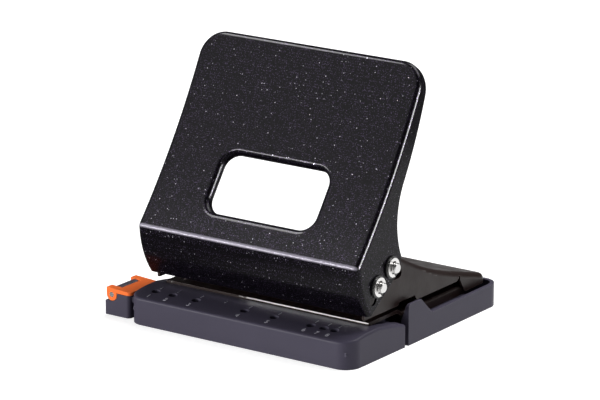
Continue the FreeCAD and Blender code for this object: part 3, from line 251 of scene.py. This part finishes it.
def make_satin_enamel(name, bare=None):
    """Brown-black satin enamel, slightly clouded, lightened along its edges by wear and a painted
    highlight; bare(g) shows steel.
    """
    g = start_finish(name)
    colour = g.blend(g.noise(scale=40.0, detail=3.0), SATIN_ENAMEL_DARK, SATIN_ENAMEL_LIGHT)
    # edges lightened: wear, and a painted highlight along them
    colour = wear_edges(g, colour, SATIN_ENAMEL_WORN_LIT_EDGE, share=0.7, reach=ENAMEL_EDGE_REACH)
    steel = 0.0
    if bare is not None:
        steel = bare(g)
        colour = g.blend(steel, colour, grey(0.72, warm=0.02))
    return close_finish(
        g, Base_Color=colour, Metallic=steel,
        Roughness=g.vary(g.noise(scale=140.0), low=0.32, high=0.44),
        Normal=g.bump(g.noise(scale=520.0, detail=1.0), strength=0.08, height=PEEL_HEIGHT),
        Specular_IOR_Level=0.2)


def sheared_edge(g):
    """1 where the base plate's front edge, cut after painting, was left bare, 0 elsewhere."""
    low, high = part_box("base_plate")
    front, top = low[1], high[2]
    parts = g.add("ShaderNodeSeparateXYZ", Vector=g.place)
    near_front = g.between(parts.outputs["Y"], front + BARE_STRIP, front + BARE_STRIP * 0.6)
    near_top = g.between(parts.outputs["Z"], top - BARE_STRIP, top - BARE_STRIP * 0.8)
    to_right = g.between(parts.outputs["X"], BARE_FROM, BARE_TO, out_low=-0.12, out_high=0.5)
    patches = g.between(g.sums("ADD", g.noise(scale=160.0), to_right), low=0.5, high=0.6)
    return g.sums("MULTIPLY", near_front, g.sums("MULTIPLY", near_top, patches))


# ---------------------------------------------------------------- metals and plastics


def make_drawn_steel(name, level, rough, along):
    """Bright steel of a grey level, with fine marks drawn out along an axis."""
    g = start_finish(name)
    stretch = tuple(0.04 if axis == along else 1.0 for axis in "xyz")
    marks = g.noise(scale=2600.0, rough=0.6, stretch=stretch)
    return close_finish(
        g, Metallic=1.0,
        Base_Color=g.blend(marks, grey(level * 0.82, warm=0.01), grey(level * 1.1, warm=0.01)),
        Roughness=g.vary(marks, low=rough * 0.8, high=rough * 1.25),
        Normal=g.bump(marks, strength=0.12, height=0.0001))


def make_nickel():
    """Nickel plate with faint tumbling marks."""
    g = start_finish("nickel_plate")
    cloud = g.noise(scale=700.0, detail=3.0)
    return close_finish(
        g, Metallic=1.0,
        Base_Color=g.blend(cloud, grey(0.55, warm=0.015), grey(0.74, warm=0.015)),
        Roughness=g.vary(cloud, low=0.2, high=0.34),
        Normal=g.bump(g.noise(scale=1500.0), strength=0.08, height=0.0001))


def make_moulded(name, dark, light, worn_lit_edge, rough, grain, gloss):
    """Moulded plastic with a fine sparked grain, clouded slightly, and pale at its edges from wear
    and a painted highlight.
    """
    g = start_finish(name)
    colour = g.blend(g.noise(scale=60.0, detail=3.0), dark, light)
    # edges lightened: wear, and a painted highlight along them
    colour = wear_edges(g, colour, worn_lit_edge, share=0.6, reach=0.0005)
    speck = g.noise(scale=grain, rough=0.7)
    return close_finish(
        g, Base_Color=colour,
        Roughness=g.vary(speck, low=rough * 0.9, high=rough * 1.12),
        Normal=g.bump(speck, strength=0.18, height=0.0002),
        Specular_IOR_Level=gloss)


FINISHES = {
    "handle_coat": make_flake_enamel(),
    "frame_coat": make_satin_enamel("satin_enamel"),
    "bright_steel": make_drawn_steel("bright_steel", level=0.62, rough=0.24, along="x"),
    "nickel": make_nickel(),
    "punch_steel": make_drawn_steel("ground_steel", level=0.42, rough=0.3, along="z"),
    "spring_steel": make_drawn_steel("spring_wire", level=0.36, rough=0.3, along="z"),
    "base_plastic": make_moulded(
        "base_plastic", dark=(0.046, 0.041, 0.064, 1.0), light=(0.056, 0.050, 0.077, 1.0),
        worn_lit_edge=(0.16, 0.15, 0.19, 1.0), rough=0.45, grain=2400.0, gloss=0.2),
    "dark_plastic": make_moulded(
        "dark_plastic", dark=grey(0.014), light=grey(0.02), worn_lit_edge=grey(0.05),
        rough=0.35, grain=900.0, gloss=0.5),
    "orange_plastic": make_moulded(
        "orange_plastic", dark=(0.93, 0.160, 0.030, 1.0), light=(0.98, 0.200, 0.040, 1.0),
        worn_lit_edge=(0.95, 0.30, 0.10, 1.0), rough=0.36, grain=1200.0, gloss=0.2),
}


def coat(obj, finish):
    obj.data.materials.clear()
    obj.data.materials.append(finish)


for part in frame["record"]["subparts"]:
    coat(nodes[part["node"]], FINISHES[part["material_slot"]])
coat(nodes["base_plate"], make_satin_enamel("plate_enamel", sheared_edge))


# ---------------------------------------------------------------- adding to the scene


def set_down(name, data):
    """Object made of a mesh, curve, lamp or camera, put into the scene."""
    obj = bpy.data.objects.new(name, data)
    bpy.context.scene.collection.objects.link(obj)
    return obj


def make_mesh(name, points, faces):
    mesh = bpy.data.meshes.new(name)
    mesh.from_pydata(points.reshape(-1, 3).tolist(), [], faces)
    return mesh


def grid_faces(rows, columns):
    """Quads between the neighbours of a grid of points that is stored row by row."""
    first = (np.arange(rows - 1)[:, None] * columns + np.arange(columns - 1)[None, :]).ravel()
    return np.stack([first, first + 1, first + columns + 1, first + columns], axis=1).tolist()


# ---------------------------------------------------------------- return springs

# a return spring's wire and turns, and the grid of its surface
WIRE_RADIUS = 0.00045
SPRING_TURNS = 4.5
STEPS_A_TURN, WIRE_SIDES = 40, 12


def wind_wire(foot, radius, rise):
    """Points, faces and caps of a wire wound up from a foot: a circle carried along a helix.

    The helix at an angle w is foot + (r cos w, r sin w, rise w / (2 pi turns)). Round it the wire's
    circle lies in the radial direction and in the cross product of that with the tangent.
    """
    steps = int(SPRING_TURNS * STEPS_A_TURN) + 1
    wind = np.linspace(0.0, 2.0 * math.pi * SPRING_TURNS, steps)[:, None]
    turn = np.linspace(0.0, 2.0 * math.pi, WIRE_SIDES, endpoint=False)[None, :, None]
    zero = np.zeros_like(wind)
    out = np.stack([np.cos(wind), np.sin(wind), zero], axis=-1)
    along = np.stack([-np.sin(wind) * radius, np.cos(wind) * radius,
                      zero + rise / (2.0 * math.pi * SPRING_TURNS)], axis=-1)
    up = np.cross(out, along / np.linalg.norm(along, axis=-1, keepdims=True))
    centre = out * radius + foot
    centre[..., 2] += rise * wind / wind[-1]
    points = centre + WIRE_RADIUS * (np.cos(turn) * out + np.sin(turn) * up)
    row = np.arange(steps - 1)[:, None] * WIRE_SIDES
    this = row + np.arange(WIRE_SIDES)[None, :]
    beside = row + (np.arange(WIRE_SIDES)[None, :] + 1) % WIRE_SIDES
    quads = np.stack([this, this + WIRE_SIDES, beside + WIRE_SIDES, beside], axis=-1)
    last = steps * WIRE_SIDES - 1
    caps = [list(range(WIRE_SIDES)), list(range(last, last - WIRE_SIDES, -1))]
    return points, quads.reshape(-1, 4).tolist(), caps


def wind_spring(name, node):
    """Coil filling a packed spring's box."""
    low, high = np.array(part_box(node))
    middle = (low + high) / 2.0
    length = high[2] - low[2]
    points, sides, caps = wind_wire(
        foot=(middle[0], middle[1], low[2] + WIRE_RADIUS),
        radius=(high[0] - low[0]) / 2.0 - WIRE_RADIUS, rise=length - 2.0 * WIRE_RADIUS)
    mesh = make_mesh(name, points, sides + caps)
    mesh.polygons.foreach_set("use_smooth", [True] * len(sides) + [False] * len(caps))
    coil = set_down(name, mesh)
    coat(coil, FINISHES["spring_steel"])
    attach(coil, "base")
    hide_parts(node)
    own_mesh(coil)


wind_spring("coil_left", "spring_left")
wind_spring("coil_right", "spring_right")


# ---------------------------------------------------------------- figures on the table

# the table's crowned top: front and rear lines and heights, radius of the crown
TABLE_FRONT, TABLE_REAR = -0.064, -0.041
FRONT_HEIGHT, REAR_HEIGHT = 0.0133, 0.0152
CROWN = 0.102
# format windows, left to right
WINDOW_X = (-0.0546, -0.0444, -0.0307, -0.0023, 0.0147, 0.0357, 0.0430, 0.0490)
# figures: line that they stand on, their size, and how far they rise above and reach into the top
FIGURE_LINE = -0.0601
FIGURE_SIZE = 0.0038
FIGURE_RISE = 0.00015
# ticks: front and rear ends, width, rise, how deep their foot lies, and the grid of their surface
TICK_FRONT, TICK_REAR = -0.0508, -0.0478
TICK_WIDTH = 0.0004
TICK_RISE, TICK_SINK = FIGURE_RISE * 1.4, FIGURE_RISE * 0.1
TICK_ROWS, TICK_COLUMNS = 9, 13


def table_top(y):
    """Height of the crown at y: a circle through the front and the rear line, its middle below."""
    chord = np.array([TABLE_REAR - TABLE_FRONT, REAR_HEIGHT - FRONT_HEIGHT])
    length = np.hypot(*chord)
    half_way = np.array([TABLE_FRONT + TABLE_REAR, FRONT_HEIGHT + REAR_HEIGHT]) / 2.0
    down = np.array([chord[1], -chord[0]]) / length
    centre = half_way + down * math.sqrt(CROWN ** 2 - length ** 2 / 4.0)
    return centre[1] + np.sqrt(CROWN ** 2 - (y - centre[0]) ** 2)


def raise_mark(name, mesh, finish):
    """Put a figure's or a tick's mesh into the scene, as a piece of the base."""
    mark = set_down(name, mesh)
    coat(mark, finish)
    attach(mark, "base")


def raise_figure(number, x, finish):
    """A numeral laid on the crown: its outline in x and y, its height added to the table's."""
    words = bpy.data.curves.new(f"figure_{number}", "FONT")
    words.body = str(number)
    words.size = FIGURE_SIZE
    words.align_x = "CENTER"
    words.align_y = "CENTER"
    words.extrude = FIGURE_RISE
    written = set_down(f"figure_{number}_curve", words)
    seen = written.evaluated_get(bpy.context.evaluated_depsgraph_get())
    mesh = bpy.data.meshes.new_from_object(seen)
    bpy.data.objects.remove(written)
    points = np.empty(len(mesh.vertices) * 3)
    mesh.vertices.foreach_get("co", points)
    points = points.reshape(-1, 3) + (x, FIGURE_LINE, 0.0)
    points[:, 2] += table_top(points[:, 1])
    mesh.vertices.foreach_set("co", points.ravel())
    mesh.update()
    raise_mark(f"figure_{number}", mesh, finish)


def raise_tick(number, x, finish):
    """Ridge on the crown: half an ellipse across x, carried along y.

    Its height fades at the ends by the root of 1 - s^8, where s runs from -1 to 1 along it.
    """
    turn, run = np.meshgrid(np.linspace(0.0, math.pi, TICK_ROWS),
                            np.linspace(0.0, 1.0, TICK_COLUMNS), indexing="ij")
    y = TICK_FRONT + (TICK_REAR - TICK_FRONT) * run
    fade = np.sqrt(np.clip(1.0 - (2.0 * run - 1.0) ** 8, 0.0, 1.0))
    across = x + np.cos(turn) * TICK_WIDTH / 2.0
    up = table_top(y) + np.sin(turn) * TICK_RISE * fade - TICK_SINK
    points = np.stack([across, y, up], axis=-1)
    mesh = make_mesh(f"tick_{number}", points, grid_faces(*turn.shape))
    raise_mark(f"tick_{number}", mesh, finish)


def mark_table():
    """Plain numerals before the format windows, and a tick behind each and in the widest gap."""
    # figures and ticks are coloured much lighter than the table: a painted highlight for light
    # caught on raised strokes
    lit_figure_finish = make_moulded(
        "figure_plastic_painted_highlight", dark=(0.34, 0.33, 0.39, 1.0), light=(0.40, 0.39, 0.45, 1.0),
        worn_lit_edge=(0.4, 0.39, 0.44, 1.0), rough=0.4, grain=2400.0, gloss=0.4)
    for number, x in enumerate(WINDOW_X, start=1):
        raise_figure(number, x, lit_figure_finish)
        raise_tick(number, x, lit_figure_finish)
    raise_tick(len(WINDOW_X) + 1, (WINDOW_X[2] + WINDOW_X[3]) / 2.0, lit_figure_finish)


mark_table()


# ---------------------------------------------------------------- floor

FLOOR_REACH = 4.0
# part of the floor that the clips and pins mirror as a white card: its middle, and how far from
# there it starts and ends to fade
CARD_SPOT = (0.16, 0.06, 0.0)
CARD_REACH = (0.18, 0.27)
# the floor's grey level, and the glow that lifts it to white
FLOOR_LEVEL, FLOOR_GLOW = 0.5, 0.75
# in mirrors, away from the card: its level, and the share of the glow that is left
FAR_LEVEL, FAR_SHARE = 0.12, 0.1


def make_ground():
    """Pale ground: white to camera and glass rays; in mirrors white at the card, dark beyond."""
    g = start_finish("pale_ground")
    path = g.add("ShaderNodeLightPath")
    glossy = path.outputs["Is Glossy Ray"]
    away = g.vectors("DISTANCE", g.place, CARD_SPOT)
    beyond = g.between(away, *CARD_REACH)
    mirrored = g.sums("MULTIPLY", glossy, g.between(beyond, 0.0, 1.0, 1.0, FAR_SHARE))
    direct = g.sums("MAXIMUM", path.outputs["Is Camera Ray"], path.outputs["Is Transmission Ray"])
    glowing = g.sums("MULTIPLY", g.sums("MAXIMUM", direct, mirrored), FLOOR_GLOW)
    colour = g.blend(g.sums("MULTIPLY", glossy, beyond), grey(FLOOR_LEVEL), grey(FAR_LEVEL))
    shade = g.add("ShaderNodeBsdfDiffuse", Color=colour)
    glow = g.add("ShaderNodeEmission", Color=WHITE, Strength=glowing)
    both = g.add("ShaderNodeAddShader")
    g.join(shade.outputs["BSDF"], both.inputs[0])
    g.join(glow.outputs["Emission"], both.inputs[1])
    g.add("ShaderNodeOutputMaterial", Surface=both.outputs["Shader"])
    return g.owner


def make_floor():
    """Flat square under the object: x and y run over a grid, z is 0."""
    x, y = np.meshgrid((-FLOOR_REACH, FLOOR_REACH), (-FLOOR_REACH, FLOOR_REACH))
    points = np.stack([x, y, np.zeros_like(x)], axis=-1)
    floor = set_down("floor", make_mesh("floor", points, grid_faces(*x.shape)))
    coat(floor, make_ground())


make_floor()


# ---------------------------------------------------------------- light

# soft boxes, all turned to the aim: name, place, width and height in metres, watts
AIM = (0.0, 0.0, 0.05)
STUDIO_BOXES = (
    ("front_strip", (-0.85, -1.25, 0.26), (1.3, 0.3), 24.0),
    ("side_right", (1.4, 0.25, 0.4), (0.9, 0.5), 0.6),
    ("top_soft", (0.3, 0.7, 1.5), (1.4, 1.0), 38.0),
)
# boxes that show in the handle's reflections alone: they draw the line of light along the knee,
# the panel's sheen, the upright bend of the side and the upper rim
HANDLE_BOXES = (
    ("knee_box", (-0.83, -1.26, 0.2), (1.3, 0.18), 24.0),
    ("panel_box", (-0.72, -0.82, 0.95), (1.4, 1.3), 8.5),
    ("bend_box", (1.45, 0.1, 0.36), (0.5, 0.6), 80.0),
    ("rim_box", (-0.83, -0.25, 1.24), (0.8, 0.3), 20.0),
)


def add_box(name, spot, size, watts):
    """Soft box at a spot, turned to the aim and hidden from the camera."""
    lamp = bpy.data.lights.new(name, "AREA")
    lamp.shape = "RECTANGLE"
    lamp.size, lamp.size_y = size
    lamp.energy = watts
    box = set_down(name, lamp)
    way = np.array(AIM) - np.array(spot)
    box.location = spot
    box.rotation_euler = (
        math.atan2(math.hypot(way[0], way[1]), -way[2]), 0.0, math.atan2(-way[0], way[1]))
    box.visible_camera = False
    return box


def mirror_in(box, piece):
    """Let a soft box show in one piece's reflections and nowhere else."""
    box.visible_diffuse = False
    lit = bpy.data.collections.new(box.name + "_on")
    lit.objects.link(nodes[piece])
    box.light_linking.receiver_collection = lit


for settings in STUDIO_BOXES:
    add_box(*settings)
for settings in HANDLE_BOXES:
    mirror_in(add_box(*settings), "handle")


# the world's even fill; how it darkens upwards in mirrors, by the height of a ray, and how it
# brightens towards the pale side, by the cosine between the ray and that side
FILL = 0.15
SKY_FADE = {"low": 0.12, "high": 0.42, "out_low": 1.0, "out_high": 0.07}
PALE_SIDE = (0.57, -0.82, 0.0)
SIDE_FADE = {"low": -0.5, "high": 0.2, "out_low": 0.12, "out_high": 1.0}


def light_world():
    """Even fill; white to the camera; in mirrors pale at the front horizon, dark elsewhere."""
    world = bpy.data.worlds.new("studio")
    g = Graph(world, "Generated")
    height = g.add("ShaderNodeSeparateXYZ", Vector=g.place).outputs["Z"]
    facing = g.vectors("DOT_PRODUCT", g.place, PALE_SIDE)
    mirrored = g.sums("MULTIPLY", g.between(height, **SKY_FADE), g.between(facing, **SIDE_FADE))
    path = g.add("ShaderNodeLightPath")
    strength = g.blend(path.outputs["Is Glossy Ray"], FILL, mirrored, "FLOAT")
    for ray in ("Is Camera Ray", "Is Transmission Ray"):
        strength = g.blend(path.outputs[ray], strength, 1.0, "FLOAT")
    sky = g.add("ShaderNodeBackground", Color=WHITE, Strength=strength)
    g.add("ShaderNodeOutputWorld", Surface=sky.outputs["Background"])
    bpy.context.scene.world = world


light_world()
bpy.context.scene.view_settings.view_transform = "Standard"


# ---------------------------------------------------------------- camera

# lens and film in millimetres, place in metres, azimuth and elevation in degrees
LENS, FILM = 216.0, 36.0
VIEWPOINT = (0.94595, -1.35338, 0.53299)
AZIMUTH, ELEVATION = 35.2, 16.1
FARTHEST_SEEN = 20.0

camera = bpy.data.cameras.new("camera")
camera.lens = LENS
camera.sensor_width = FILM
camera.clip_end = FARTHEST_SEEN
viewer = set_down("camera", camera)
viewer.location = VIEWPOINT
viewer.rotation_euler = (math.radians(90.0 - ELEVATION), 0.0, math.radians(AZIMUTH))
bpy.context.scene.camera = viewer
